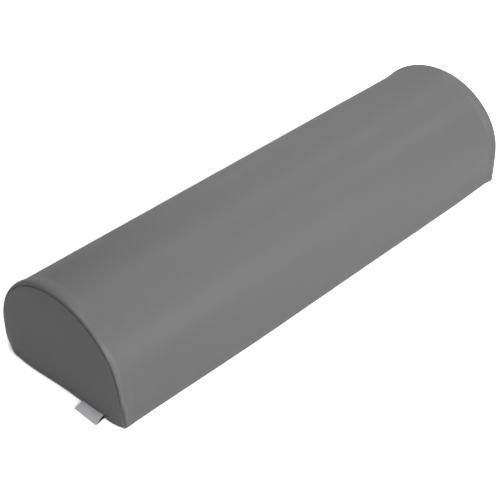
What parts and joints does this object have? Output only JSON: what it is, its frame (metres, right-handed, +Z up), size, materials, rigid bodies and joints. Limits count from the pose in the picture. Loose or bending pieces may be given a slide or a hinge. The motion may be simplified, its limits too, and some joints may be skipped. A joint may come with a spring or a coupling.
{
  "type": "half round bolster",
  "caption": "Half round therapy bolster: an arched foam block with a flat base in a sewn vinyl cover with crowned ends, a zip along the rear side and a small folded label.",
  "frame": {"origin": "middle of the flat underside, midway between the two end seams", "axes": "+X along the bolster towards the far end, away from the label; +Y across it towards the zip; +Z up from the flat base to the crest"},
  "size_m": [0.6199, 0.1836, 0.1179],
  "materials": {
    "foam": "open-cell foam",
    "vinyl": "matte synthetic leather",
    "label_satin": "satin",
    "zip_tape": "woven",
    "zip_teeth": "moulded",
    "zip_metal": "satin plated"
  },
  "bodies": {
    "cover": {"foam_core": "foam", "top_cover": "vinyl", "near_end_panel": "vinyl", "far_end_panel": "vinyl", "base_panel": "vinyl", "label_tag": "label_satin", "zip_tape_upper": "zip_tape", "zip_tape_lower": "zip_tape", "zip_teeth_upper": "zip_teeth", "zip_teeth_lower": "zip_teeth", "zip_top_stop_upper": "zip_teeth", "zip_top_stop_lower": "zip_teeth", "zip_bottom_stop": "zip_teeth"},
    "slider": {"zip_slider": "zip_metal"},
    "pull": {"zip_pull": "zip_metal"}
  },
  "joints": [
    {"name": "zip_slide", "type": "slide", "parent": "cover", "child": "slider", "axis": [-1, 0, 0], "range_m": [0, 0.484], "deforming": ["zip_teeth_upper", "zip_teeth_lower"]},
    {"name": "pull_swing", "type": "hinge", "parent": "slider", "child": "pull", "pos_m": [0.242, 0.0909, 0.018], "axis": [0, 0, -1], "range_deg": [0, 165]}
  ]
}
